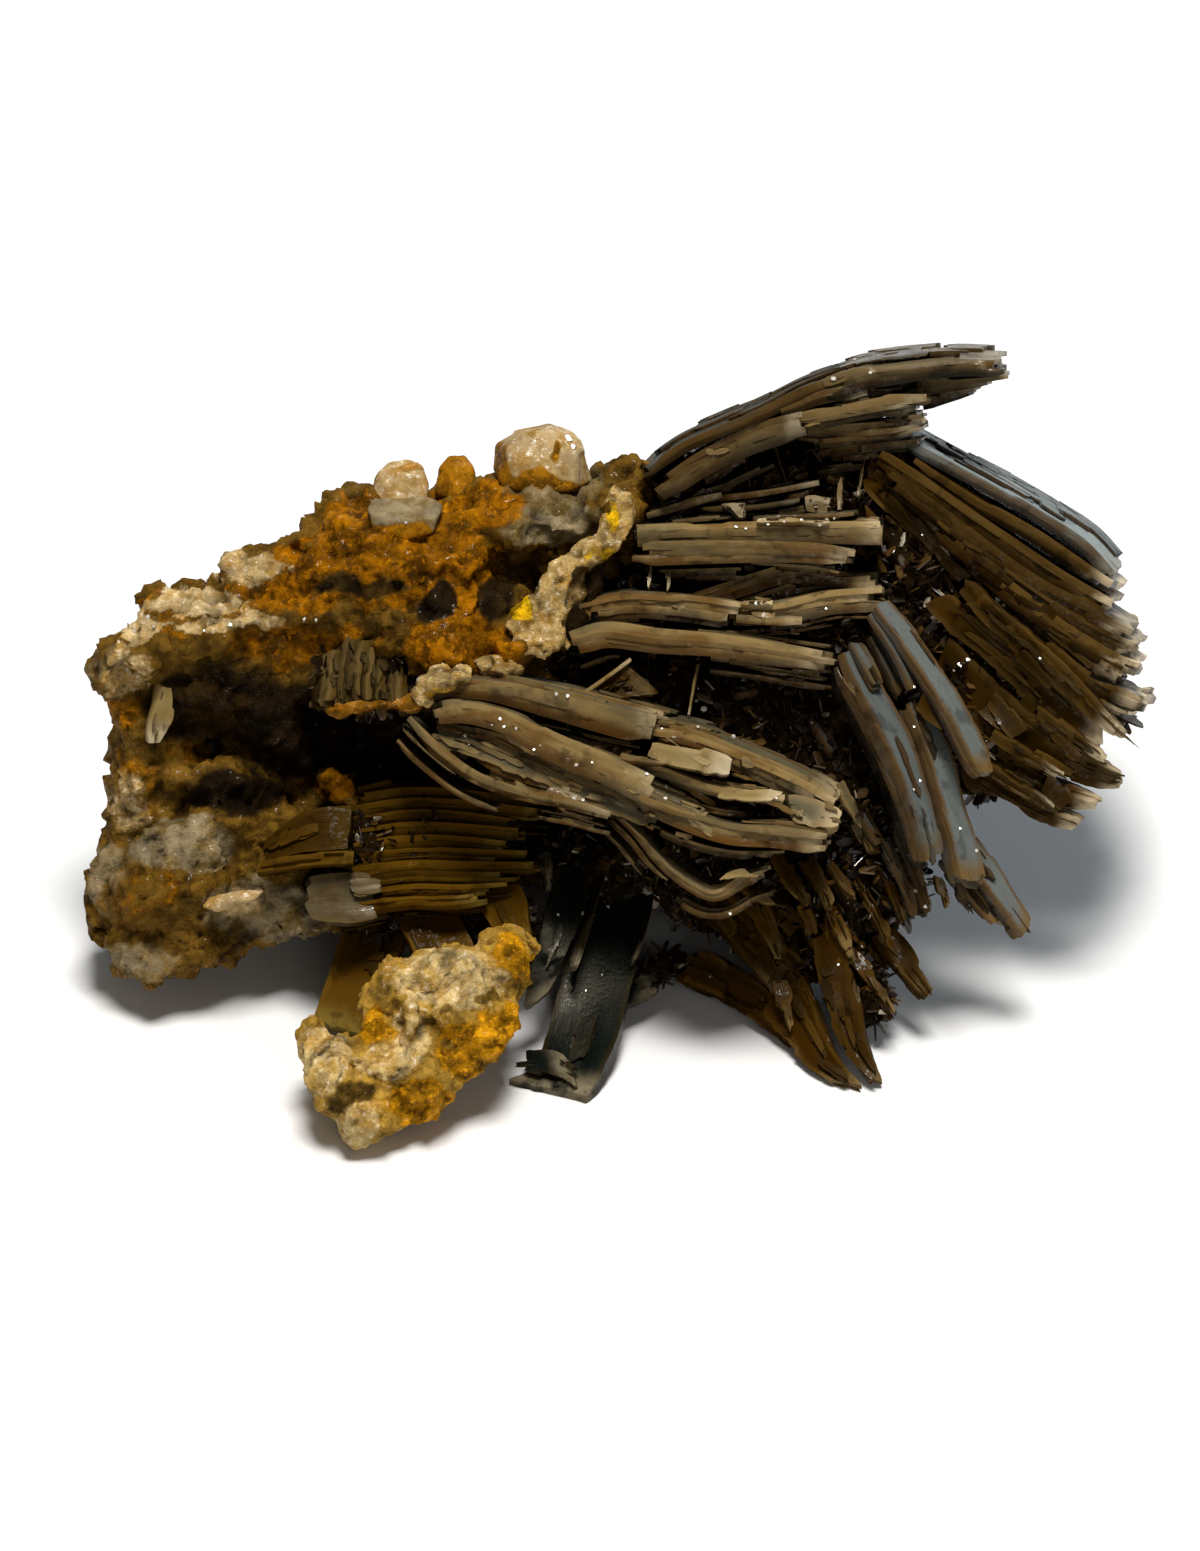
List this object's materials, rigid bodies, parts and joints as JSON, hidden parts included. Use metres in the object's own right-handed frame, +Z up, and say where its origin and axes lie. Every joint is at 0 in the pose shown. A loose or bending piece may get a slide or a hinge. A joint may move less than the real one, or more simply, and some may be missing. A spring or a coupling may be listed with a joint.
{
  "type": "barite",
  "caption": "Cabinet mineral specimen: fanned books of tabular brown and blue-grey barite blades on ochre-stained host rock, resting on a broken flat base.",
  "frame": {"origin": "centre of the specimen's bounding box, on the ground it rests on", "axes": "+Z up; +X along the specimen's longest extent, from the ochre rock end toward the crystal fan; the show face looks toward -Y"},
  "size_m": [0.1084, 0.0818, 0.0579],
  "materials": {
    "host_rock": "rough ochre rock with cream and grey crusts",
    "ochre_knob": "porous cream and orange crust",
    "crust_ridge": "cream crust with a dark fibrous inner side",
    "grey_tan_barite": "vitreous, layered, grey-tan with orange-brown edges",
    "blue_grey_barite": "glossy blue-grey faces with orange-brown edges",
    "brown_barite": "vitreous dark brown, layered",
    "amber_barite": "vitreous yellow-brown, slightly translucent",
    "dark_barite": "glossy dark blue-green",
    "olive_barite": "fibrous olive-brown, glossy",
    "pale_barite": "whitish to pale yellow, vitreous"
  },
  "bodies": {
    "root": {"host_rock": "host_rock", "ochre_knob": "ochre_knob", "crust_ridge": "crust_ridge", "crown_blades": "grey_tan_barite", "middle_blades": "grey_tan_barite", "front_blades": "grey_tan_barite", "small_bundle": "grey_tan_barite", "arch_blades": "blue_grey_barite", "ledge_crystal": "blue_grey_barite", "right_fan_blades": "brown_barite", "back_blades": "brown_barite", "lower_fan_blades": "amber_barite", "orange_crystal": "amber_barite", "amber_crystal": "amber_barite", "dark_blades": "dark_barite", "striated_blades": "olive_barite", "pale_blade": "pale_barite", "block_crystal": "pale_barite", "round_crystal": "pale_barite", "lens_crystal": "pale_barite"}
  },
  "joints": []
}
